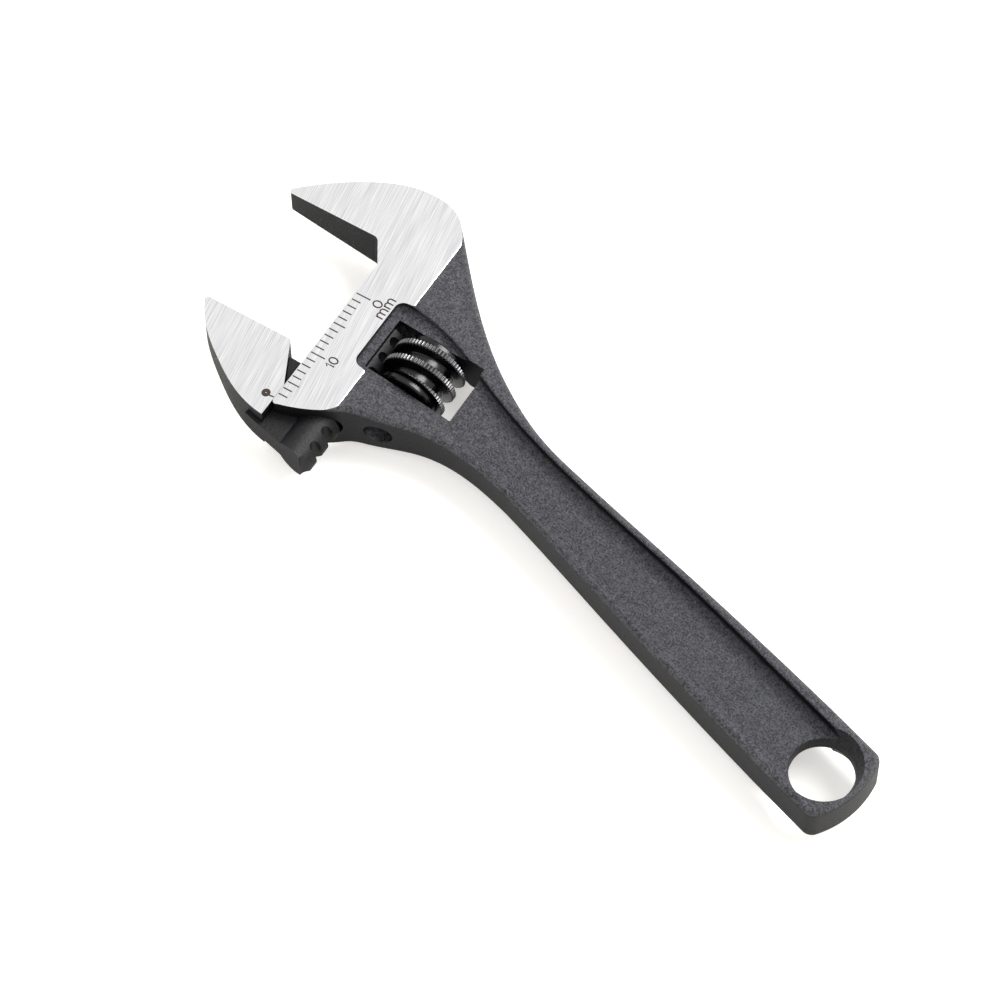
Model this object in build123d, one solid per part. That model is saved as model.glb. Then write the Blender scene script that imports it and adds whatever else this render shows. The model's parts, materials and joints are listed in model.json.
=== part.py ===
from build123d import *

import math
import os

# Adjustable wrench, 108 mm long with an 18 mm jaw capacity: one STEP file for each real piece.
#
# Frame: origin at the centre of the hanging hole on the mid-plane, +X along the handle to the
# head, +Z through the thickness. The head has directions of its own: h towards the jaw tips,
# s along the slide from closed to open. The jaw is made open, where its pointer reads 18.

# ---------------------------------------------------------------- driving dimensions, mm
HEAD_ANGLE = 15.0            # the jaw faces against the handle
HEAD_ORIGIN = (85.3, -0.3)   # zero mark of the scale, where it meets the slide
OPENING = 17.95              # between the jaw faces as modelled
FIXED_FACE = -8.2            # the fixed jaw's face along s
JAW_TIP = 15.8               # how far the jaws reach along h

FACE_HALF = 3.71             # half thickness of the ground head at the slide
FACE_TAPER = 0.107           # half thickness lost for each mm towards the tips
GROUND_END = -7.35           # where the ground faces end, along h
HEAD_HALF = 5.3              # half thickness of the forging before its faces are ground
NECK_HALF = 2.9              # half thickness at the neck
END_HALF = 3.4               # half thickness at the hanging hole
NECK_X = 52.0
NECK_HALF_WIDTH = 4.25
GRIP_HALF_WIDTH = 5.86       # near the hanging hole
END_REACH = 5.4              # from the hole's centre to the end of the handle
END_CORNER_R = 1.6
HOLE_R = 4.05                # hanging hole, where it is narrowest
HOLE_LAND = 0.7              # half length of its narrowest part
HOLE_FLARE = 0.34            # radius its dished mouths gain for each mm of height

WEB_HALF = 1.2               # half thickness of the handle's panel
PANEL_STEPS = [(45.0, 1.2), (66.0, 1.75), (79.0, 3.15)]   # its rise towards the head, (x, z)
PANEL_HALF_WIDTH = 4.25      # of the panel, near the hanging hole
PANEL_NECK_HALF_WIDTH = 3.3
EDGE_R = 0.8                 # rounding of the forged edges
LIP_R = 0.3                  # rounding of the panel's upper edge
POCKET_R = 1.1               # rounding in the bottom of the panel

PITCH = 2.5                  # of the rack and of the knurl's thread
RACK_AXIS = -5.5             # the rack's centre line, along h
RACK_R = 2.6
RACK_FRONT = 1.0             # the rack's ends along s
RACK_END = 21.1
RACK_END_SLOPE = 0.2
TOOTH_ROOT = -6.8            # along h
TOOTH_GAP = 1.35             # round-bottomed
GAP_CENTRE = 2.4             # one of the rack's gaps, along s
WEB_THICK = 3.0              # the jaw's tongue in its slot
TONGUE_FRONT = 1.3           # the tongue's set-back from the jaw's face
FIT = 0.06                   # radial clearance of a running fit
SLOT_END = -7.9

KNURL_AXIS = -12.3           # along h
KNURL_R = 4.9
KNURL_ROOT_R = 3.5
COLLAR_R = 4.05
CREST_WIDTH = 0.85
CREST_BASE = 1.35
WINDOW_S = (0.0, 7.75)
WINDOW_H = (-19.2, -6.6)
KNURL_S = (0.3, 7.4)
COLLAR_LENGTH = 0.9

PIN_R = 1.1                  # the knurl's pin
PIN_HEAD_R = 1.8
PIN_HEAD_S = (8.6, 11.3)
PIN_FRONT = -3.2
PIN_SLOT = 0.6
SPRING_WIRE_R = 0.2
SPRING_R = 1.62
SPRING_TURNS = 4.5
SPRING_DEPTH = 2.6

BIG = 96.0                   # longer than anything it cuts
TALL = 10.0                  # higher than any surface

DIR_H = Vector(math.cos(math.radians(HEAD_ANGLE)), math.sin(math.radians(HEAD_ANGLE)), 0)
DIR_S = Vector(-DIR_H.Y, DIR_H.X, 0)
ORIGIN = Vector(*HEAD_ORIGIN, 0)


def at(h, s, z=0.0):
    """World point of a place in the head."""
    return ORIGIN + DIR_H * h + DIR_S * s + Vector(0, 0, z)


def along_h(point):
    """How far a world point lies towards the jaw tips."""
    return (point - ORIGIN).dot(DIR_H)


def along_s(h, s, z=0.0):
    """Plane across the slide direction, its x towards the jaw tips, its normal along s."""
    return Plane(origin=at(h, s, z), x_dir=DIR_H, z_dir=DIR_S)


def half_at(h):
    """Half thickness of the ground head."""
    return FACE_HALF - FACE_TAPER * h


def rod(h, s_from, s_to, radius):
    """Cylinder along the slide direction."""
    return extrude(along_s(h, s_from) * Circle(radius), s_to - s_from)


def block(h_from, h_to, s_from, s_to, half):
    """Box in the head's directions, centred on the mid-plane."""
    corners = [at(h_from, s_from), at(h_to, s_from), at(h_to, s_to), at(h_from, s_to)]
    return extrude(make_face(Polyline(*corners, close=True)), half, both=True)


# ---------------------------------------------------------------- body
def body_outline():
    """Plan of the body: fixed jaw, slide, neck and handle."""
    grip_top = [(NECK_X, NECK_HALF_WIDTH), (33.0, 5.03), (4.0, GRIP_HALF_WIDTH)]
    grip_low = [(x, -y) for x, y in grip_top]
    corner_x = -END_REACH + 1.4
    fixed_tip = at(JAW_TIP - 0.4, FIXED_FACE)
    fixed_side = at(JAW_TIP - 0.2, FIXED_FACE - 0.8)
    slide_corner = at(-0.2, 18.35)
    low_side = at(-8.0, 15.1)
    wall_foot = (71.0, 10.2)

    edges = [
        Line(at(0, 17.9), at(0, FIXED_FACE + 3.4)),
        Line(at(0, FIXED_FACE + 3.4), at(1.9, FIXED_FACE + 0.55)),
        ThreePointArc(at(1.9, FIXED_FACE + 0.55), at(2.35, FIXED_FACE + 0.12), at(2.9, FIXED_FACE)),
        Line(at(2.9, FIXED_FACE), fixed_tip),
        ThreePointArc(fixed_tip, at(JAW_TIP - 0.03, FIXED_FACE - 0.3), fixed_side),
        Spline(fixed_side, at(12.1, -11.9), at(7.3, -14.9), at(3.0, -16.6), at(-0.2, -17.0),
               at(-3.2, -16.6), at(-5.4, -15.4)),
        Spline(at(-5.4, -15.4), (79.0, -13.5), (71.9, -9.5), (65.2, -6.7), (58.5, -4.9),
               (NECK_X, -NECK_HALF_WIDTH), tangents=[DIR_H * -0.7 + DIR_S * 0.7, (-1, 0.02)]),
        Spline(*grip_low, tangents=[(-1, -0.02), (-1, -0.01)]),
        Line((4.0, -GRIP_HALF_WIDTH), (corner_x, -GRIP_HALF_WIDTH)),
        ThreePointArc((corner_x, -GRIP_HALF_WIDTH), (-END_REACH, 0), (corner_x, GRIP_HALF_WIDTH)),
        Line((corner_x, GRIP_HALF_WIDTH), (4.0, GRIP_HALF_WIDTH)),
        Spline(*reversed(grip_top), tangents=[(1, -0.01), (1, -0.02)]),
        Spline((NECK_X, NECK_HALF_WIDTH), (60.0, 4.95), (65.5, 6.8), wall_foot, low_side,
               tangents=[(1, 0.02), (0.6, 0.8)]),
        Spline(low_side, at(-5.0, 16.85), slide_corner - DIR_H * 0.6),
        ThreePointArc(slide_corner - DIR_H * 0.6, at(-0.25, 18.4), at(0, 17.9)),
    ]
    plan = make_face(Wire(edges))
    ends = [vertex for vertex in plan.vertices() if abs(vertex.X - corner_x) < 0.01]
    return fillet(ends, END_CORNER_R)


def prism_between(upper):
    """Solid along s between a chain of edges in (h, z) and its mirror image below."""
    first, last = upper[0] @ 0, upper[-1] @ 1
    lower = [edge.mirror(Plane.XZ) for edge in upper]
    ends = [Line((v.X, v.Y), (v.X, -v.Y)) for v in (first, last)]
    side = Plane(origin=ORIGIN, x_dir=DIR_H, z_dir=-DIR_S)
    return extrude(side * make_face(Wire(upper + lower + ends)), BIG, both=True)


def forged_thickness():
    """Thickness of the forging, which is thicker than the ground faces over the head."""
    head = (-3.0, HEAD_HALF)
    neck = (-35.0, NECK_HALF)
    slope = Spline(head, (GROUND_END, half_at(GROUND_END)), (-12.5, 3.8), (-18.5, 3.15), neck,
                   tangents=[(-1, -0.1), (-1, 0)])
    return prism_between([Line((BIG, HEAD_HALF), head), slope, Line(neck, (-BIG, END_HALF))])


def ground_wedge():
    """Everything between the two ground faces of the head."""
    tip = 20.0
    return prism_between([Line((tip, half_at(tip)), (-BIG, half_at(-BIG)))])


def on_rim(edge, wire, reach):
    """True for an edge that lies on the plan line of wire, at least reach above the mid-plane."""
    places = [edge @ t for t in (0.1, 0.5, 0.9)]
    level = all(abs(place.Z) > reach for place in places)
    return level and all(wire.distance_to(Vector(place.X, place.Y, 0)) < 0.02 for place in places)


def pocket_plan():
    """Plan of the panel from the hanging hole up and round the knurl's window."""
    width = PANEL_HALF_WIDTH
    neck = PANEL_NECK_HALF_WIDTH
    end_centre = -0.35
    edges = [
        ThreePointArc((end_centre, width), (end_centre - width, 0), (end_centre, -width)),
        Spline((end_centre, -width), (32.0, -4.0), (54.0, -neck), (65.5, -4.2), at(-12.5, -1.4),
               at(-6.6, -1.9), tangents=[(1, 0.005), DIR_H + DIR_S * 0.02]),
        ThreePointArc(at(-6.6, -1.9), at(-5.75, -1.55), at(-5.4, -0.7)),
        Line(at(-5.4, -0.7), at(-5.4, 7.4)),
        ThreePointArc(at(-5.4, 7.4), at(-5.8, 8.35), at(-6.8, 8.7)),
        Spline(at(-6.8, 8.7), at(-12.3, 8.75), (66.0, 3.9), (54.0, neck), (32.0, 4.0),
               (end_centre, width), tangents=[-DIR_H, (-1, 0.005)]),
    ]
    return make_face(Wire(edges))


def pocket():
    """Panel cutter for the upper side, its floor rising towards the window."""
    first, last = PANEL_STEPS[0], PANEL_STEPS[-1]
    left, right = -20.0, 90.0
    profile = [
        Line((left, WEB_HALF), first),
        Spline(*PANEL_STEPS, tangents=[(1, 0), (1, 0)]),
        Line(last, (right, last[1])),
        Line((right, last[1]), (right, TALL)),
        Line((right, TALL), (left, TALL)),
        Line((left, TALL), (left, WEB_HALF)),
    ]
    above = extrude(Plane.XZ * make_face(Wire(profile)), BIG, both=True)
    plan = pocket_plan()
    cutter = extrude(plan, TALL) & above
    rim = plan.face().outer_wire()
    low = [edge for edge in cutter.edges() if (edge @ 0.5).Z < TALL / 2]
    return fillet([edge for edge in low if on_rim(edge, rim, 0.0)], POCKET_R)


def make_forging():
    """The blank as it leaves the dies: rounded outside, with a panel on each side."""
    outline = body_outline()
    blank = extrude(outline, TALL, both=True) & forged_thickness()
    rim = outline.face().outer_wire()
    for side in (1, -1):
        # the rounding runs on by itself from the end of the handle up to both sides of the head
        high = [edge for edge in blank.edges() if on_rim(edge, rim, WEB_HALF)]
        start = [edge for edge in high
                 if (edge @ 0.5).X < END_CORNER_R / 2 - END_REACH and (edge @ 0.5).Z * side > 0]
        blank = fillet(start, EDGE_R)
    cut = pocket()
    blank -= cut
    blank -= cut.mirror(Plane.XY)
    mouth = pocket_plan().face().outer_wire()
    lips = [edge for edge in blank.edges() if on_rim(edge, mouth, 2.0)]
    return fillet(lips, LIP_R)


def make_body():
    solid = make_forging() & ground_wedge()
    solid -= Cylinder(HOLE_R, 2 * TALL)
    rise = END_HALF - HOLE_LAND + FIT
    mouth = Pos(0, 0, HOLE_LAND + rise / 2) * Cone(HOLE_R, HOLE_R + HOLE_FLARE * rise, rise)
    solid -= mouth
    solid -= mouth.mirror(Plane.XY)
    solid -= block(WINDOW_H[0], WINDOW_H[1], WINDOW_S[0], WINDOW_S[1], TALL)
    solid -= rod(RACK_AXIS, -BIG / 2, BIG / 2, RACK_R + FIT)
    solid -= block(RACK_AXIS, 8, SLOT_END, BIG / 2, WEB_THICK / 2 + FIT)
    solid -= rod(KNURL_AXIS, PIN_FRONT - 0.1, 1, PIN_R + 0.02)
    solid -= rod(KNURL_AXIS, WINDOW_S[1] - 1, BIG / 2, PIN_HEAD_R + 0.02)
    return solid


# ---------------------------------------------------------------- moving jaw with its rack
def jaw_outline():
    face = FIXED_FACE + OPENING
    heel = at(0.03, face + 5.9)
    edges = [
        Line(heel, at(2.95, face + 0.35)),
        Line(at(2.95, face + 0.35), at(3.2, face)),
        Line(at(3.2, face), at(JAW_TIP - 0.4, face)),
        ThreePointArc(at(JAW_TIP - 0.4, face), at(JAW_TIP - 0.02, face + 0.3),
                      at(JAW_TIP - 0.15, face + 0.9)),
        Spline(at(JAW_TIP - 0.15, face + 0.9), at(12.6, 14.2), at(9.4, 16.6), at(5.8, 18.8),
               at(2.6, 20.05), at(0.03, 20.5)),
        Line(at(0.03, 20.5), heel),
    ]
    return make_face(Wire(edges))


def tooth_gap(middle):
    """Cutter for one gap of the rack, with a round bottom."""
    start, end = middle - TOOTH_GAP / 2, middle + TOOTH_GAP / 2
    foot = TOOTH_ROOT - TOOTH_GAP / 2
    outside = RACK_AXIS - 2 * RACK_R
    outline = [
        ThreePointArc(at(foot, start), at(TOOTH_ROOT, middle), at(foot, end)),
        Line(at(foot, end), at(outside, end)),
        Line(at(outside, end), at(outside, start)),
        Line(at(outside, start), at(foot, start)),
    ]
    return extrude(make_face(Wire(outline)), TALL, both=True)


def make_jaw():
    face = FIXED_FACE + OPENING
    solid = extrude(jaw_outline(), TALL, both=True) & ground_wedge()
    tongue = block(RACK_AXIS, 2.6, face + TONGUE_FRONT, RACK_END + 2, WEB_THICK / 2)
    rack = rod(RACK_AXIS, RACK_FRONT, RACK_END + 2, RACK_R)
    count = int((RACK_END - RACK_FRONT) / PITCH) + 1
    for index in range(-1, count):
        rack -= tooth_gap(GAP_CENTRE + index * PITCH)
    lower = tongue + rack
    cut_line = [at(4, RACK_END - 4 * RACK_END_SLOPE), at(-12, RACK_END + 12 * RACK_END_SLOPE),
                at(-12, RACK_END + 12), at(4, RACK_END + 12)]
    lower -= extrude(make_face(Polyline(*cut_line, close=True)), 10, both=True)
    return solid + lower


# ---------------------------------------------------------------- knurl, pin and spring
def knurl_thread(start, end):
    """Right-hand thread between two places on the knurl, one crest facing the rack's gap."""
    foot = KNURL_ROOT_R - 0.3
    depth = KNURL_R + 0.3 - foot
    profile = Plane.XZ * make_face(Polyline(
        (foot, -CREST_BASE / 2), (foot + depth, -CREST_WIDTH / 2),
        (foot + depth, CREST_WIDTH / 2), (foot, CREST_BASE / 2), close=True))
    turn = sweep(profile, path=Helix(PITCH, PITCH, foot), is_frenet=True)
    turns = math.ceil((end - start) / PITCH) + 1
    thread = turn
    for index in range(1, turns):
        thread += Pos(0, 0, index * PITCH) * turn
    below = math.ceil((GAP_CENTRE - start) / PITCH) * PITCH
    return along_s(KNURL_AXIS, GAP_CENTRE - below) * thread


def make_knurl():
    start, end = KNURL_S
    thread_from, thread_to = start + COLLAR_LENGTH, end - COLLAR_LENGTH
    thread = knurl_thread(thread_from, thread_to) & rod(KNURL_AXIS, thread_from, thread_to, KNURL_R)
    solid = rod(KNURL_AXIS, start, end, KNURL_ROOT_R) + thread
    solid += rod(KNURL_AXIS, start, thread_from, COLLAR_R)
    solid += rod(KNURL_AXIS, thread_to, end, COLLAR_R)
    solid -= rod(KNURL_AXIS, start - 1, end + 1, PIN_R + FIT)
    solid -= rod(KNURL_AXIS, end - SPRING_DEPTH, end + 1, SPRING_R + SPRING_WIRE_R + 0.15)
    return solid


def make_pin():
    solid = rod(KNURL_AXIS, PIN_FRONT, PIN_HEAD_S[0], PIN_R)
    solid += rod(KNURL_AXIS, PIN_HEAD_S[0], PIN_HEAD_S[1], PIN_HEAD_R)
    slot = Box(4 * PIN_HEAD_R, PIN_SLOT, 1.6)
    return solid - along_s(KNURL_AXIS, PIN_HEAD_S[1]) * slot


def make_spring():
    length = WINDOW_S[1] - KNURL_S[1] + SPRING_DEPTH - 2 * SPRING_WIRE_R - 0.04
    first = KNURL_S[1] - SPRING_DEPTH + SPRING_WIRE_R + 0.02
    path = along_s(KNURL_AXIS, first) * Helix(length / SPRING_TURNS, length, SPRING_R)
    wire = Plane(origin=path @ 0, z_dir=path % 0) * Circle(SPRING_WIRE_R)
    return sweep(wire, path=path, is_frenet=True)


PIECES = {
    "body": make_body,
    "movable_jaw": make_jaw,
    "knurl": make_knurl,
    "knurl_pin": make_pin,
    "knurl_spring": make_spring,
}

os.makedirs("parts", exist_ok=True)
for name, make in PIECES.items():
    piece = make()
    piece.label = name
    box = piece.bounding_box()
    print(name, "volume", round(piece.volume, 1), "solids", len(piece.solids()), "size",
          [round(v, 2) for v in box.size], "min", [round(v, 2) for v in box.min])
    export_step(piece, f"parts/{name}.step")
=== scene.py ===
# %% [markdown]
# # A small adjustable wrench, from solid model to picture
#
# The solids of this tool already exist: a forged body, a jaw that slides on a toothed rack, a
# knurled screw that moves it, a pin and a spring. This lesson gives each of them the surface that
# its making leaves on it, cuts the scale into the head, and replaces the plain screw with one
# whose crests carry real knurling. Everything is in metres, and nothing that comes from the solid
# model is moved.

import json
import math

import bmesh
import bpy
from mathutils import Matrix, Vector


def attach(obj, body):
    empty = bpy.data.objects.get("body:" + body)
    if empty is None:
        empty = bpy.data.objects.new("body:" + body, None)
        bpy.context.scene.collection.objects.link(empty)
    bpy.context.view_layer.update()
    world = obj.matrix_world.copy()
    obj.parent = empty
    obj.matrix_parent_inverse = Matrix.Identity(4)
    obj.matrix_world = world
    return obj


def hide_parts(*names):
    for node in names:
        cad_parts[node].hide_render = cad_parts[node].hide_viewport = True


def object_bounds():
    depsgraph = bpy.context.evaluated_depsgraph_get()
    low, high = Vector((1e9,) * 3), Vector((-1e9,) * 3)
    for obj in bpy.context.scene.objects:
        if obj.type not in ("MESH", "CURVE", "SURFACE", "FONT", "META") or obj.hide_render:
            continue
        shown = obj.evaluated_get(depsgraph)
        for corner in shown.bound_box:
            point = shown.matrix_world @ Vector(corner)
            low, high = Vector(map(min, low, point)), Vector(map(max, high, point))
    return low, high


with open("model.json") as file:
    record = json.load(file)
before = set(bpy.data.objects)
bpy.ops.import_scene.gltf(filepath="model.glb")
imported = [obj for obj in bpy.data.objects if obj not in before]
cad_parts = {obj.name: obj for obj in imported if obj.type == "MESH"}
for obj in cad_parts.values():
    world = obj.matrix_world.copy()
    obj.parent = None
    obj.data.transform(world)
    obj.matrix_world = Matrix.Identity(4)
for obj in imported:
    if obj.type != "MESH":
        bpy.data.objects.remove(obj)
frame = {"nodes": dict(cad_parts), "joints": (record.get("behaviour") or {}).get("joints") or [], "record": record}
cad_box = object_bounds()
scene = bpy.context.scene
print("solids:", sorted(frame["nodes"]))

# %% [markdown]
# ## Directions of the head
#
# The head is set at an angle to the handle, so its scale, its grinding marks and its screw are
# awkward to place along the world's axes. The record gives the direction in which the jaw slides
# and a point on the fixed jaw's face, and that is enough for a frame of the head's own: h runs
# towards the jaw tips, s runs along the slide from closed to open, z through the thickness, all in
# millimetres from the zero mark. One matrix takes a finished mesh from there to its place.

# %% The head's own frame
MM = 0.001
FIXED_FACE_PLACE = Vector((9.0, -8.2, 0.0))   # the recorded point on the fixed jaw, as (h, s, z)

slide_joint = next(joint for joint in frame["joints"] if joint["name"] == "jaw_slide")
fixed_face = next(mount for mount in frame["record"]["mounts"]
                  if mount["name"] == "fixed_jaw_face")
slide = Vector(slide_joint["axis"]).normalized()
reach = slide.cross(Vector((0, 0, 1)))
turn = Matrix((reach, slide, Vector((0, 0, 1)))).transposed()
zero_mark = Vector(fixed_face["pos_m"]) - turn @ (FIXED_FACE_PLACE * MM)
HEAD = Matrix.Translation(zero_mark) @ turn.to_4x4() @ Matrix.Scale(MM, 4)
HEAD_ANGLE = math.atan2(reach.y, reach.x)
print("zero mark at", [round(value / MM, 2) for value in zero_mark], "mm,",
      "head turned by", round(math.degrees(HEAD_ANGLE), 2), "degrees")

# %% Sizes that the pieces share, in millimetres
FACE_HALF = 3.71        # half thickness of the ground head, beside the slide
FACE_TAPER = 0.107      # half thickness lost for each millimetre towards the tips
KNURL_AXIS = -12.3      # the screw's axis, along h
KNURL_START, KNURL_END = 0.3, 7.4
KNURL_R = 4.9
ROOT_R = 3.5
COLLAR_R = 4.05
COLLAR_LENGTH = 0.9
PITCH = 2.5
CREST_PLACE = 2.4       # where a crest faces the rack, along s


def face_height(h):
    """Height of the ground face above the mid-plane."""
    return FACE_HALF - FACE_TAPER * h


# %% [markdown]
# ## The camera
#
# The tool is seen from above and behind its jaws with a long lens, which keeps the handle almost
# parallel. The camera looks at the middle of the tool from a direction given by two angles, and
# is rolled by half a degree.

# %% Camera
AZIMUTH, ELEVATION, ROLL = (math.radians(angle) for angle in (-131.01, 62.67, -0.52))
DISTANCE = 0.62625
TARGET = Vector((0.05309, 0.00426, 0.0))
SENSOR = 36.0
FOCAL_WIDTHS = 5.112    # focal length as a multiple of the sensor's width
FAR = 10.0              # nothing further away is drawn

back = Vector((math.sin(AZIMUTH) * math.cos(ELEVATION),
               -math.cos(AZIMUTH) * math.cos(ELEVATION),
               math.sin(ELEVATION)))
right = Vector((math.cos(AZIMUTH), math.sin(AZIMUTH), 0.0))
up = back.cross(right)
facing = Matrix((right, up, back)).transposed() @ Matrix.Rotation(ROLL, 3, "Z")

lens = bpy.data.cameras.new("camera")
lens.sensor_width = SENSOR
lens.lens = SENSOR * FOCAL_WIDTHS
lens.clip_end = FAR
camera = bpy.data.objects.new("camera", lens)
camera.matrix_world = Matrix.Translation(TARGET + back * DISTANCE) @ facing.to_4x4()
scene.collection.objects.link(camera)
scene.camera = camera
print("camera with a", round(lens.lens), "mm lens,", round(DISTANCE * 1000), "mm away")

# %% [markdown]
# ## Floor and light
#
# The tool lies on a white sheet that also glows a little from below, as a light table does, so
# its shadow stays faint. A broad lamp on the viewer's right gives the shadow its side, and a
# bright sky fills the rest. Polished steel shows what it reflects, so most of its brightness
# comes from that sky.

# %% Helper for nodes and colours
def linear(code):
    """Linear colour with alpha from an sRGB hex code such as 3A3A3C."""
    parts = [int(code[i:i + 2], 16) / 255 for i in (0, 2, 4)]
    return [p / 12.92 if p <= 0.04045 else ((p + 0.055) / 1.055) ** 2.4 for p in parts] + [1.0]


def add(tree, kind, inputs=None, **settings):
    """Add one node with its settings, and fill its inputs with values or links."""
    node = tree.nodes.new(kind)
    for name, value in settings.items():
        setattr(node, name, value)
    for key, value in (inputs or {}).items():
        if isinstance(value, bpy.types.NodeSocket):
            tree.links.new(value, node.inputs[key])
        else:
            node.inputs[key].default_value = value
    return node


def stretched(tree, value, low, high):
    """Value in which low becomes 0 and high becomes 1, held at both."""
    return add(tree, "ShaderNodeMapRange", {"Value": value, "From Min": low,
                                            "From Max": high}).outputs[0]


def new_material(name):
    """Empty material with a Principled shader, and its tree."""
    material = bpy.data.materials.new(name)
    material.use_nodes = True
    tree = material.node_tree
    tree.nodes.clear()
    shader = add(tree, "ShaderNodeBsdfPrincipled")
    add(tree, "ShaderNodeOutputMaterial", {"Surface": shader.outputs["BSDF"]})
    return material, tree, shader


# %% Floor
FLOOR_HALF = 1.5
FLOOR_GLOW = 0.45      # light that comes up through the white sheet
floor_height = cad_box[0][2]
corners = [(x, y, floor_height) for x, y in
           ((-FLOOR_HALF, -FLOOR_HALF), (FLOOR_HALF, -FLOOR_HALF),
            (FLOOR_HALF, FLOOR_HALF), (-FLOOR_HALF, FLOOR_HALF))]
floor_mesh = bpy.data.meshes.new("floor")
floor_mesh.from_pydata(corners, [], [(0, 1, 2, 3)])
paper, tree, shader = new_material("white acrylic sheet on a light table")
shader.inputs["Base Color"].default_value = linear("F6F4F0")
shader.inputs["Roughness"].default_value = 0.9
shader.inputs["Specular IOR Level"].default_value = 0.1
shader.inputs["Emission Color"].default_value = linear("FFFDFA")
shader.inputs["Emission Strength"].default_value = FLOOR_GLOW
floor_mesh.materials.append(paper)
floor = bpy.data.objects.new("floor", floor_mesh)
scene.collection.objects.link(floor)
print("floor at", round(floor_height / MM, 2), "mm")

# %% Sky and lamp
SKY = 0.88
KEY_PLACE = (-0.12, -0.62, 0.80)
KEY_SIZE = 0.60
KEY_POWER = 12.0
world = bpy.data.worlds.new("studio")
world.use_nodes = True
sky = world.node_tree.nodes["Background"]
sky.inputs["Color"].default_value = linear("FFFFFF")
sky.inputs["Strength"].default_value = SKY
scene.world = world
scene.view_settings.view_transform = "Standard"


def lamp(name, place, size, energy):
    """Square lamp that looks at the tool."""
    light = bpy.data.lights.new(name, "AREA")
    light.size = size
    light.energy = energy
    piece = bpy.data.objects.new(name, light)
    piece.location = place
    piece.rotation_euler = (TARGET - Vector(place)).to_track_quat("-Z", "Y").to_euler()
    scene.collection.objects.link(piece)


lamp("key", KEY_PLACE, KEY_SIZE, KEY_POWER)
print("sky at", SKY, "and one lamp")

# %% [markdown]
# ## The two finishes of the head
#
# The body is drop-forged steel. Its skin is blasted to a fine grain and blackened in a hot
# caustic bath, which gives black oxide: dark, barely glossy, with the metal's grain in it. Then
# the two faces of the head are ground flat, so the black stops at a line and bright steel with
# fine parallel scratches begins. The trimmed edge round the outside of the forging is smoother
# than the rest. The upright walls also get a darker black than the faces, which is painted shade.
#
# One material can do all of it, because place decides the finish: a point is ground where it lies
# on one of the two ground planes. The head's frame comes from one Mapping node of type Texture,
# which undoes a place, a turn and a scale, so the rest of the tree counts in millimetres.

# %% Ground steel and black oxide in one tree
GRAIN = 0.24            # mm, size of a blasted grain
SCRATCH = 0.08          # mm, width of a grinding scratch, drawn broader than the real one
SCRATCH_LENGTH = 6.0    # mm
GRIND_ANGLE = math.radians(-10.0)  # towards the open end, the scratches lean to the handle
BAND = 0.9              # per mm, how closely the faint bands of scratches follow each other
BAND_SHARE = 0.12
PLANE_TOLERANCE = 0.02  # mm
EDGE_NOISE = 2.2        # per mm, how finely the edge of the black skin wanders
EDGE_WANDER = 0.05      # mm, by how much in height
SLOW_SHARE = 0.25       # part of the grain that is slow unevenness
SLOW_SCALE = 0.35       # its scale against the pits'
# The same tilts decide where the darker wall black goes, which is painted shade.
WALL_TILTS = (0.15, 0.6)    # a face is wall below the first upward slope, skin above the second
BLACK_ROUGH, BRIGHT_ROUGH = 0.5, 0.34
WALL_GLOSS, SKIN_GLOSS = 0.1, 0.35
SCRATCH_RISE = 0.04     # depth of a scratch against the depth of a grain
WALL_RISE = 0.2         # depth of the grain on the trimmed walls against the rest


def head_place(tree):
    """Vector in the head's frame, in millimetres."""
    where = add(tree, "ShaderNodeTexCoord")
    return add(tree, "ShaderNodeMapping", {
        "Vector": where.outputs["Object"], "Location": zero_mark,
        "Rotation": (0, 0, HEAD_ANGLE), "Scale": (MM, MM, MM)}, vector_type="TEXTURE").outputs[0]


def ground_mask(tree, place):
    """1 on the ground planes, 0 elsewhere, with an edge as uneven as the skin."""
    axes = add(tree, "ShaderNodeSeparateXYZ", {0: place})
    level = add(tree, "ShaderNodeMath", {0: axes.outputs[2]}, operation="ABSOLUTE")
    plane = add(tree, "ShaderNodeMath", {0: axes.outputs[0], 1: FACE_TAPER, 2: level.outputs[0]},
                operation="MULTIPLY_ADD")
    skin = add(tree, "ShaderNodeTexNoise", {"Vector": place, "Scale": EDGE_NOISE, "Detail": 3.0})
    uneven = add(tree, "ShaderNodeMath", {0: skin.outputs[0], 1: EDGE_WANDER, 2: plane.outputs[0]},
                 operation="MULTIPLY_ADD")
    return stretched(tree, uneven.outputs[0], FACE_HALF - PLANE_TOLERANCE,
                     FACE_HALF - PLANE_TOLERANCE / 2)


def scratches(tree, place):
    """Long streaks along the grinding direction, from 0 to 1."""
    turned = add(tree, "ShaderNodeMapping", {"Vector": place, "Rotation": (0, 0, GRIND_ANGLE)})
    drawn = add(tree, "ShaderNodeMapping", {
        "Vector": turned.outputs[0], "Scale": (1 / SCRATCH, 1 / SCRATCH_LENGTH, 0.05)})
    fine = add(tree, "ShaderNodeTexNoise", {"Vector": drawn.outputs[0], "Scale": 1.0,
                                            "Detail": 3.0})
    broad = add(tree, "ShaderNodeMapping", {
        "Vector": turned.outputs[0], "Scale": (BAND, 0.5 / SCRATCH_LENGTH, 0.05)})
    bands = add(tree, "ShaderNodeTexNoise", {"Vector": broad.outputs[0], "Scale": 1.0,
                                             "Detail": 2.0})
    both = add(tree, "ShaderNodeMix", {"Factor": BAND_SHARE, "A": fine.outputs[0],
                                       "B": bands.outputs[0]})
    return stretched(tree, both.outputs[0], 0.28, 0.66)


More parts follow.
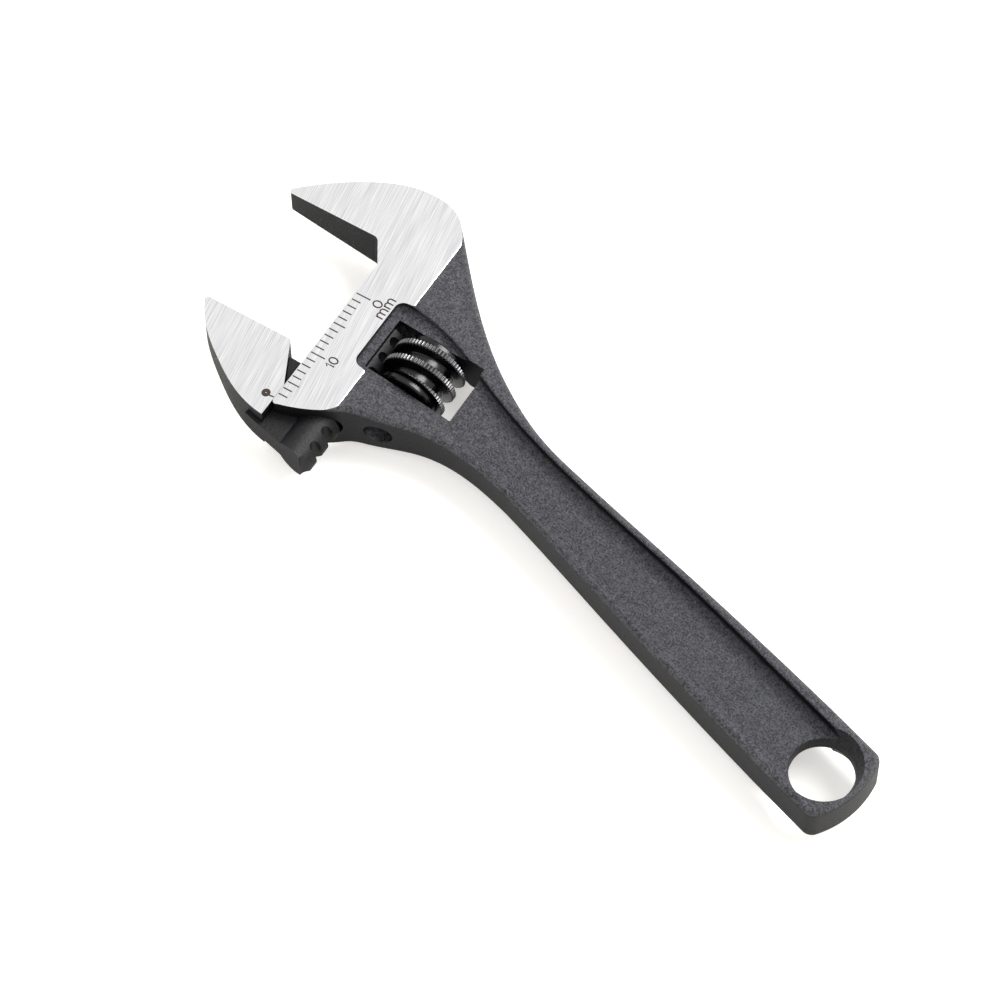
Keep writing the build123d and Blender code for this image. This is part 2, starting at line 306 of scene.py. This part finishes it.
def grain(tree, place):
    """Blasted skin from 0 to 1: pits the size of the grit, over a slower unevenness."""
    pits = add(tree, "ShaderNodeTexNoise", {"Vector": place, "Scale": 1 / GRAIN, "Detail": 2.0,
                                            "Roughness": 0.6})
    slow = add(tree, "ShaderNodeTexNoise", {"Vector": place, "Scale": SLOW_SCALE / GRAIN,
                                            "Detail": 1.0})
    both = add(tree, "ShaderNodeMix", {"Factor": SLOW_SHARE, "A": pits.outputs[0],
                                       "B": slow.outputs[0]})
    return stretched(tree, both.outputs[0], 0.36, 0.66)


# %% Build the two head materials
def head_steel(name, grain_depth, black_low, black_high, shaded_wall_black):
    """Ground faces in a blackened skin, with painted shade as a darker black on the upright walls; grain_depth in
    millimetres.
    """
    material, tree, shader = new_material(name)
    place = head_place(tree)
    ground = ground_mask(tree, place)
    lines = scratches(tree, place)
    pits = grain(tree, place)

    normal = add(tree, "ShaderNodeTexCoord").outputs["Normal"]
    tilt = add(tree, "ShaderNodeSeparateXYZ", {0: normal})
    upright = add(tree, "ShaderNodeMath", {0: tilt.outputs[2]}, operation="ABSOLUTE")
    skin = stretched(tree, upright.outputs[0], *WALL_TILTS)

    bright = add(tree, "ShaderNodeMix", {
        "Factor": lines, "A": linear("CCCCCF"), "B": linear("FDFDFD")}, data_type="RGBA")
    black = add(tree, "ShaderNodeMix", {
        "Factor": pits, "A": linear(black_low), "B": linear(black_high)}, data_type="RGBA")
    # Upright walls take the darker wall colour, which is painted shade; the gloss and bump below are the trimmed
    # edge's real finish.
    black_with_shaded_walls = add(tree, "ShaderNodeMix", {
        "Factor": skin, "A": linear(shaded_wall_black), "B": black.outputs["Result"]},
        data_type="RGBA")
    colour = add(tree, "ShaderNodeMix", {
        "Factor": ground, "A": black_with_shaded_walls.outputs["Result"], "B": bright.outputs["Result"]},
        data_type="RGBA")
    rough = add(tree, "ShaderNodeMix", {"Factor": ground, "A": BLACK_ROUGH, "B": BRIGHT_ROUGH})
    gloss = add(tree, "ShaderNodeMix", {"Factor": skin, "A": WALL_GLOSS, "B": SKIN_GLOSS})

    depth = add(tree, "ShaderNodeMath", {0: skin, 1: 1 - WALL_RISE, 2: WALL_RISE},
                operation="MULTIPLY_ADD")
    rise = add(tree, "ShaderNodeMath", {0: pits, 1: depth.outputs[0]}, operation="MULTIPLY")
    groove = add(tree, "ShaderNodeMath", {0: lines, 1: SCRATCH_RISE}, operation="MULTIPLY")
    height = add(tree, "ShaderNodeMix", {"Factor": ground, "A": rise.outputs[0],
                                         "B": groove.outputs[0]})
    bump = add(tree, "ShaderNodeBump", {"Height": height.outputs[0], "Distance": grain_depth * MM,
                                        "Strength": 1.0})
    for socket, value in (("Base Color", colour.outputs["Result"]),
                          ("Roughness", rough.outputs[0]), ("Metallic", ground),
                          ("Specular IOR Level", gloss.outputs[0]), ("Normal", bump.outputs[0])):
        tree.links.new(value, shader.inputs[socket])
    return material


# The last colour of each material is the darker black of the upright walls, painted shade.
forged_steel = head_steel("forged steel, blasted, blackened, ground faces",
                          0.09, "17171A", "55555B", "101012")
jaw_steel = head_steel("machined jaw steel, blackened, ground faces",
                       0.03, "0E0E10", "1B1B1E", "0C0C0E")
print("head materials with", len(forged_steel.node_tree.nodes), "nodes each")

# %% [markdown]
# ## Small steel pieces
#
# The screw is machined and blackened without blasting, so its oxide is glossy, and its crests
# are rubbed by thumbs until metal shows. The pin's head is satin black, and the spring in the
# screw is plain drawn wire.

# %% Materials of the small pieces
def turned_steel(name, base, worn, rough, worn_from, worn_to):
    """Glossy blackened steel that is rubbed bright far from the screw's axis."""
    material, tree, shader = new_material(name)
    place = head_place(tree)
    centred = add(tree, "ShaderNodeVectorMath", {0: place, 1: (KNURL_AXIS, 0, 0)},
                  operation="SUBTRACT")
    flat = add(tree, "ShaderNodeVectorMath", {0: centred.outputs[0], 1: (1, 0, 1)},
               operation="MULTIPLY")
    radius = add(tree, "ShaderNodeVectorMath", {0: flat.outputs[0]}, operation="LENGTH")
    spots = add(tree, "ShaderNodeTexNoise", {"Vector": place, "Scale": 1.6, "Detail": 4.0})
    rubbed = stretched(tree, radius.outputs["Value"], worn_from, worn_to)
    wear = add(tree, "ShaderNodeMath", {0: rubbed, 1: spots.outputs[0]}, operation="MULTIPLY")
    colour = add(tree, "ShaderNodeMix", {
        "Factor": wear.outputs[0], "A": linear(base), "B": linear(worn)}, data_type="RGBA")
    haze = add(tree, "ShaderNodeMapRange", {"Value": spots.outputs[0], "To Min": rough - 0.06,
                                            "To Max": rough + 0.1})
    bump = add(tree, "ShaderNodeBump", {"Height": spots.outputs[0], "Distance": 0.01 * MM})
    for socket, value in (("Base Color", colour.outputs["Result"]), ("Metallic", wear.outputs[0]),
                          ("Roughness", haze.outputs[0]), ("Normal", bump.outputs[0])):
        tree.links.new(value, shader.inputs[socket])
    return material


WORN = 0.15             # mm, depth to which the screw's crests are rubbed
knurl_steel = turned_steel("turned steel, glossy black oxide", "040405", "B0B0B4", 0.2,
                           KNURL_R - WORN, KNURL_R)
pin_steel = turned_steel("pin steel, satin black oxide", "141416", "3A3A3D", 0.36, 1.2, 1.9)
spring_steel = turned_steel("drawn spring wire", "6A6A6C", "A0A0A2", 0.3, 1.4, 1.8)
print("small materials:", knurl_steel.name, "|", pin_steel.name, "|", spring_steel.name)

# %% Put the finishes on the solids that stay
for node, material in (("body", forged_steel), ("movable_jaw", jaw_steel),
                       ("knurl_pin", pin_steel), ("knurl_spring", spring_steel)):
    solid = frame["nodes"][node]
    for slot in solid.material_slots:
        slot.material = material
    print(node, "is", material.name)

# %% [markdown]
# ## The knurled screw
#
# On the real tool the screw is a turned blank with a coarse right-hand thread whose crests are
# knurled with straight grooves, so that a thumb can roll it. Modelling it by hand would mean
# hundreds of little teeth along a helix, but a rule gives them all: take a flat grid, bend it
# round an axis, shift each column along the helix, and let the radius follow two patterns. One
# pattern is the thread's profile, and the other is the grooves, which only bite at the crest.
#
# Rows that run past either end are held at the end plane, where they fall together and are
# merged, which trims the thread square. The last rows go down to the core and back to the first,
# so the thread is one closed ring.

# %% Runner for geometry trees
def group(name, sizes):
    """Geometry tree with named inputs, and the sockets of its input node by name."""
    tree = bpy.data.node_groups.new(name, "GeometryNodeTree")
    tree.interface.new_socket("Path", in_out="INPUT", socket_type="NodeSocketGeometry")
    for label, value in sizes.items():
        kind = "NodeSocketInt" if isinstance(value, int) else "NodeSocketFloat"
        tree.interface.new_socket(label, in_out="INPUT", socket_type=kind).default_value = value
    tree.interface.new_socket("Geometry", in_out="OUTPUT", socket_type="NodeSocketGeometry")
    return tree, tree.nodes.new("NodeGroupInput").outputs


def finish_tree(tree, geometry, material):
    """End a tree with Realize Instances and Set Material."""
    real = add(tree, "GeometryNodeRealizeInstances", {0: geometry})
    painted = add(tree, "GeometryNodeSetMaterial", {"Geometry": real.outputs[0],
                                                    "Material": material})
    add(tree, "NodeGroupOutput", {0: painted.outputs[0]})


def grow(name, tree, sizes, start=None):
    """Run a tree with these sizes and keep what it makes as a plain mesh object."""
    piece = bpy.data.objects.new(name, start or bpy.data.meshes.new(name))
    scene.collection.objects.link(piece)
    modifier = piece.modifiers.new(name, "NODES")
    modifier.node_group = tree
    for item in tree.interface.items_tree:
        if item.name in sizes:
            modifier[item.identifier] = sizes[item.name]
    result = piece.evaluated_get(bpy.context.evaluated_depsgraph_get())
    mesh = bpy.data.meshes.new_from_object(result)
    piece.modifiers.remove(modifier)
    piece.data = mesh
    return piece


def outward(mesh):
    """Merge doubles and turn all faces outwards."""
    work = bmesh.new()
    work.from_mesh(mesh)
    bmesh.ops.remove_doubles(work, verts=work.verts, dist=1e-4)
    bmesh.ops.dissolve_degenerate(work, edges=work.edges, dist=1e-5)
    bmesh.ops.recalc_face_normals(work, faces=work.faces)
    work.to_mesh(mesh)
    work.free()


# %% Tree of the thread
THREAD = {"Rows": 76, "Columns": 372, "Start": KNURL_START + COLLAR_LENGTH,
          "End": KNURL_END - COLLAR_LENGTH,
          "Pitch": PITCH, "Crest place": CREST_PLACE, "Outer radius": KNURL_R,
          "Root radius": ROOT_R, "Grooves": 62, "Groove depth": 0.17}


def sums(tree, *steps):
    """Chain of Math nodes: each step is (operation, other values); it starts from a socket."""
    value = steps[0]
    for operation, *others in steps[1:]:
        filled = {0: value, **{i + 1: other for i, other in enumerate(others)}}
        value = add(tree, "ShaderNodeMath", filled, operation=operation).outputs[0]
    return value


FOOT_HALF, TOP_HALF = 0.82, 0.30    # half widths of a crest where it rises and at its top
CREST_FROM = 0.75       # share of the rise above which the grooves bite
CORE_OVERLAP = 0.2      # how far the thread reaches into the core


def thread_tree():
    """Closed ring of thread round the z axis, in millimetres, with grooves across its crests."""
    tree, size = group("knurled thread", THREAD)
    columns = sums(tree, size["Columns"], ("ADD", 1.0))
    rows = sums(tree, size["Rows"], ("ADD", 3.0))
    width = sums(tree, rows, ("SUBTRACT", 1.0))
    grid = add(tree, "GeometryNodeMeshGrid", {"Size X": width, "Size Y": size["Columns"],
                                              "Vertices X": rows, "Vertices Y": columns})
    here = add(tree, "GeometryNodeInputPosition").outputs[0]
    spot = add(tree, "ShaderNodeSeparateXYZ", {0: here})
    row = sums(tree, spot.outputs[0], ("DIVIDE", width), ("ADD", 0.5), ("MULTIPLY", width))
    part = sums(tree, spot.outputs[1], ("DIVIDE", size["Columns"]), ("ADD", 0.5))
    angle = sums(tree, part, ("MULTIPLY", math.tau))

    length = sums(tree, size["End"], ("SUBTRACT", size["Start"]), ("ADD", size["Pitch"]))
    lead = sums(tree, part, ("MULTIPLY", size["Pitch"]))
    along = sums(tree, row, ("SUBTRACT", 1.0), ("DIVIDE", size["Rows"]), ("MULTIPLY", length))
    raw = sums(tree, along, ("ADD", lead), ("SUBTRACT", size["Pitch"]), ("ADD", size["Start"]))
    held = sums(tree, raw, ("MAXIMUM", size["Start"]), ("MINIMUM", size["End"]))

    half = sums(tree, size["Pitch"], ("MULTIPLY", 0.5))
    phase = sums(tree, held, ("SUBTRACT", lead), ("SUBTRACT", size["Crest place"]), ("ADD", half))
    beside = sums(tree, phase, ("FLOORED_MODULO", size["Pitch"]), ("SUBTRACT", half),
                  ("ABSOLUTE",))
    profile = add(tree, "ShaderNodeMapRange", {
        "Value": beside, "From Min": FOOT_HALF, "From Max": TOP_HALF},
        interpolation_type="SMOOTHSTEP")
    crest = stretched(tree, profile.outputs[0], CREST_FROM, 1.0)
    bite = sums(tree, angle, ("MULTIPLY", size["Grooves"]), ("COSINE",),
                ("MULTIPLY_ADD", 0.5, 0.5), ("POWER", 0.7), ("MULTIPLY", crest),
                ("MULTIPLY", size["Groove depth"]))
    rise = sums(tree, size["Outer radius"], ("SUBTRACT", size["Root radius"]))
    outer = sums(tree, profile.outputs[0], ("MULTIPLY_ADD", rise, size["Root radius"]),
                 ("SUBTRACT", bite))

    inner = sums(tree, size["Root radius"], ("SUBTRACT", CORE_OVERLAP))
    first = sums(tree, row, ("LESS_THAN", 0.5))
    last = sums(tree, size["Rows"], ("ADD", 1.5), ("LESS_THAN", row))
    closing = sums(tree, size["Rows"], ("ADD", 0.5), ("LESS_THAN", row))
    inside = sums(tree, first, ("MAXIMUM", closing))
    radius = add(tree, "ShaderNodeMix", {"Factor": inside, "A": outer, "B": inner}).outputs[0]
    back_home = sums(tree, first, ("MAXIMUM", last))
    at_end = add(tree, "ShaderNodeMix", {"Factor": closing, "A": held,
                                         "B": size["End"]}).outputs[0]
    level = add(tree, "ShaderNodeMix", {"Factor": back_home, "A": at_end,
                                        "B": size["Start"]}).outputs[0]

    place = add(tree, "ShaderNodeCombineXYZ", {
        0: sums(tree, angle, ("COSINE",), ("MULTIPLY", radius)),
        1: sums(tree, angle, ("SINE",), ("MULTIPLY", radius)), 2: level})
    bent = add(tree, "GeometryNodeSetPosition", {"Geometry": grid.outputs[0],
                                                 "Position": place.outputs[0]})
    merged = add(tree, "GeometryNodeMergeByDistance", {"Geometry": bent.outputs[0],
                                                       "Distance": 0.0005})
    finish_tree(tree, merged.outputs[0], knurl_steel)
    return tree


thread = grow("thread", thread_tree(), THREAD)
outward(thread.data)
print("thread:", len(thread.data.polygons), "faces")

# %% [markdown]
# The core, the two smooth collars and the bore are plain turning, so they are one closed profile
# taken round the axis. Small chamfers on the collars catch the light as the real ones do. Core
# and thread then become one mesh and go to the screw's place, with its axis along the slide.

# %% Core, collars and bore
def revolve(name, profile, columns):
    """Closed profile of (radius, height) points taken round the z axis."""
    count = len(profile)
    corners = [(r * math.cos(math.tau * i / columns), r * math.sin(math.tau * i / columns), z)
               for i in range(columns) for r, z in profile]
    faces = []
    for i in range(columns):
        this, following = i * count, (i + 1) % columns * count
        for j in range(count):
            above = (j + 1) % count
            faces.append((this + j, following + j, following + above, this + above))
    mesh = bpy.data.meshes.new(name)
    mesh.from_pydata(corners, [], faces)
    return mesh


CHAMFER = 0.18
CORE_COLUMNS = 96
BORE_R, SPRING_BORE_R, SPRING_DEPTH = 1.16, 1.97, 2.6
thread_start, thread_end = THREAD["Start"], THREAD["End"]
core = revolve("core", [
    (BORE_R, KNURL_START), (COLLAR_R - CHAMFER, KNURL_START), (COLLAR_R, KNURL_START + CHAMFER),
    (COLLAR_R, thread_start - CHAMFER), (COLLAR_R - CHAMFER, thread_start),
    (ROOT_R, thread_start), (ROOT_R, thread_end), (COLLAR_R - CHAMFER, thread_end),
    (COLLAR_R, thread_end + CHAMFER), (COLLAR_R, KNURL_END - CHAMFER),
    (COLLAR_R - CHAMFER, KNURL_END),
    (SPRING_BORE_R, KNURL_END), (SPRING_BORE_R, KNURL_END - SPRING_DEPTH),
    (BORE_R, KNURL_END - SPRING_DEPTH)], CORE_COLUMNS)
core.materials.append(knurl_steel)
outward(core)

joined = bmesh.new()
joined.from_mesh(thread.data)
joined.from_mesh(core)
screw_mesh = bpy.data.meshes.new("knurled_screw")
joined.to_mesh(screw_mesh)
joined.free()
screw_mesh.materials.append(knurl_steel)
AXIS = Matrix.Translation((KNURL_AXIS, 0, 0)) @ Matrix.Rotation(math.radians(-90), 4, "X")
screw_mesh.transform(HEAD @ AXIS)
bpy.data.objects.remove(thread)
screw = bpy.data.objects.new("knurled_screw", screw_mesh)
scene.collection.objects.link(screw)
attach(screw, "worm")
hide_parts("knurl")
print("screw:", len(screw_mesh.polygons), "faces")

# %% [markdown]
# ## The scale
#
# The millimetre scale is burnt into the ground face by a laser, which leaves flat dark-brown
# lines. The marks repeat, so a tree makes them: a line of points one millimetre apart, a thin
# slab on each, and a length that depends on the number of the mark. Every tenth is long and every
# fifth middling. Each slab is a few hundredths of a millimetre high, of which a hundredth stands
# proud, so that it shows without being raised to the eye. A last step lifts everything from a
# flat drawing onto the sloping face.

# %% Burnt marks: material and the lift onto the face
def burnt_mark():
    """Brown oxide left by the laser, uneven from pulse to pulse."""
    material, tree, shader = new_material("laser-burnt mark on ground steel")
    place = head_place(tree)
    pulses = add(tree, "ShaderNodeTexNoise", {"Vector": place, "Scale": 7.0, "Detail": 2.0})
    colour = add(tree, "ShaderNodeMix", {
        "Factor": pulses.outputs[0], "A": linear("1A110D"), "B": linear("46342B")},
        data_type="RGBA")
    tree.links.new(colour.outputs["Result"], shader.inputs["Base Color"])
    shader.inputs["Roughness"].default_value = 0.6
    shader.inputs["Metallic"].default_value = 0.2
    return material


burnt = burnt_mark()
MARK_DEPTH = 0.03
MARK_PROUD = 0.01


def lay_on_face(mesh):
    """Take a flat drawing in h and s onto the ground face, then to its place."""
    for corner in mesh.vertices:
        corner.co.z += face_height(corner.co.x)
    mesh.transform(HEAD)


# %% Tree of the marks
MARKS = {"Count": 18, "Spacing": 1.0, "Edge": -0.12, "Short": 1.28, "Middle": 1.7, "Long": 2.1,
         "Line width": 0.17}


def marks_tree():
    """Slabs along s that reach from the slide's edge towards the handle."""
    tree, size = group("scale marks", MARKS)
    line = add(tree, "GeometryNodeMeshLine", {
        "Count": size["Count"], "Offset": add(tree, "ShaderNodeCombineXYZ", {
            1: size["Spacing"]}).outputs[0]})
    number = add(tree, "GeometryNodeInputIndex").outputs[0]
    fifth = sums(tree, number, ("FLOORED_MODULO", 5.0), ("LESS_THAN", 0.5))
    tenth = sums(tree, number, ("FLOORED_MODULO", 10.0), ("LESS_THAN", 0.5))
    middling = add(tree, "ShaderNodeMix", {"Factor": fifth, "A": size["Short"],
                                           "B": size["Middle"]})
    length = add(tree, "ShaderNodeMix", {"Factor": tenth, "A": middling.outputs[0],
                                         "B": size["Long"]}).outputs[0]
    slab = add(tree, "GeometryNodeMeshCube", {"Size": (1.0, 1.0, MARK_DEPTH)})
    marks = add(tree, "GeometryNodeInstanceOnPoints", {
        "Points": line.outputs[0], "Instance": slab.outputs[0],
        "Scale": add(tree, "ShaderNodeCombineXYZ", {0: length, 1: size["Line width"],
                                                    2: 1.0}).outputs[0]})
    middle = sums(tree, length, ("MULTIPLY_ADD", -0.5, size["Edge"]))
    moved = add(tree, "GeometryNodeTranslateInstances", {
        "Instances": marks.outputs[0], "Local Space": False,
        "Translation": add(tree, "ShaderNodeCombineXYZ", {
            0: middle, 2: MARK_PROUD - MARK_DEPTH / 2}).outputs[0]})
    finish_tree(tree, moved.outputs[0], burnt)
    return tree


marks = grow("scale_marks", marks_tree(), MARKS)
lay_on_face(marks.data)
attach(marks, "wrench")
print("scale:", MARKS["Count"], "marks,", len(marks.data.polygons), "faces")

# %% [markdown]
# ## Numerals and pointer
#
# The numerals are drawn as single strokes by the same laser, so a font with thick and thin parts
# would look wrong. Each stroke is a short path, and one tree sweeps a flat bar along all of them.
# A letter is written in its own small frame, with x to the right and y up, and then turned so
# that it reads towards the fixed jaw. The pointer on the moving jaw is a round burnt spot with a
# short line down to the slide.

# %% Strokes swept by a tree
STROKE = {"Line width": 0.19}


def stroke_tree():
    """Flat bar swept along the edges of the incoming mesh."""
    tree, size = group("laser strokes", STROKE)
    paths = add(tree, "GeometryNodeMeshToCurve", {"Mesh": size["Path"]})
    flat = add(tree, "GeometryNodeSetCurveNormal", {"Curve": paths.outputs[0]}, mode="Z_UP")
    bar = add(tree, "GeometryNodeCurvePrimitiveQuadrilateral", {
        "Width": size["Line width"], "Height": MARK_DEPTH})
    swept = add(tree, "GeometryNodeCurveToMesh", {
        "Curve": flat.outputs[0], "Profile Curve": bar.outputs[0], "Fill Caps": True})
    finish_tree(tree, swept.outputs[0], burnt)
    return tree


def ring(x, y, width, height, count=28):
    """Closed oval path."""
    return [(x + width / 2 * math.cos(math.tau * i / count),
             y + height / 2 * math.sin(math.tau * i / count)) for i in range(count + 1)]


def arch(x, width, top, count=9):
    """One hump of a small m, from its left foot over and down to the right foot."""
    radius = width / 2
    bend = [(x + radius - radius * math.cos(math.pi * i / count),
             top - radius + radius * math.sin(math.pi * i / count)) for i in range(count + 1)]
    return bend + [(x + width, 0.0)]


def small_m(x, width, top):
    """Stem and two humps."""
    hump = width / 2
    return [[(x, 0.0), (x, top)], arch(x, hump, top), arch(x + hump, hump, top)]


print("stroke", STROKE["Line width"], "mm wide")

# %% Write the numerals
NUMERAL = 1.2           # height of a numeral; a small m is lower


def write(words):
    """Mesh of edges in the head's frame for (paths, h, s) words, each placed by its lower left."""
    corners, edges = [], []
    for paths, h, s in words:
        for path in paths:
            first = len(corners)
            corners += [(h + y, s - x, MARK_PROUD - MARK_DEPTH / 2) for x, y in path]
            edges += [(i, i + 1) for i in range(first, len(corners) - 1)]
    mesh = bpy.data.meshes.new("strokes")
    mesh.from_pydata(corners, edges, [])
    return mesh


def drawn(name, words, body, slot):
    """Swept strokes on the ground face that ride on a body."""
    piece = grow(name, stroke_tree(), STROKE, write(words))
    outward(piece.data)
    lay_on_face(piece.data)
    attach(piece, body)
    print(name, "has", len(piece.data.polygons), "faces")


zero = [ring(0.5, NUMERAL / 2, 0.9, NUMERAL)]
ten = [[(0.0, 0.85), (0.32, NUMERAL), (0.32, 0.0)], ring(1.05, NUMERAL / 2, 0.8, NUMERAL)]
millimetres = small_m(0.05, 1.3, 0.98) + small_m(1.75, 1.3, 0.98)
drawn("numerals", [(zero, -3.93, 0.55), (ten, -3.88, 10.72), (millimetres, -5.12, 1.62)],
      "wrench", "forged_steel")

# %% Pointer on the moving jaw
POINTER = (1.3, 17.71)  # centre of its spot, in h and s
SPOT_R = 0.58
PRICK_R = 0.07          # bright prick in the spot's middle
SPOT_COLUMNS = 40
drawn("pointer", [([[(0.0, 0.0), (-0.1, 0.75)]], 0.12, 17.74)], "jaw", "jaw_steel")
spot = revolve("spot", [(PRICK_R, -MARK_DEPTH), (PRICK_R, 0.0), (SPOT_R - 0.05, MARK_PROUD),
                        (SPOT_R, 0.0), (SPOT_R, -MARK_DEPTH)], SPOT_COLUMNS)
spot.materials.append(burnt)
spot.transform(Matrix.Translation((*POINTER, 0.0)))
outward(spot)
lay_on_face(spot)
dot = bpy.data.objects.new("pointer_spot", spot)
scene.collection.objects.link(dot)
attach(dot, "jaw")

# %% [markdown]
# ## The size of the solid model
#
# The solid model's box is printed, in millimetres.

# %% Sizes and finish
print("solid model:", [round(value / MM, 2) for corner in cad_box for value in corner])
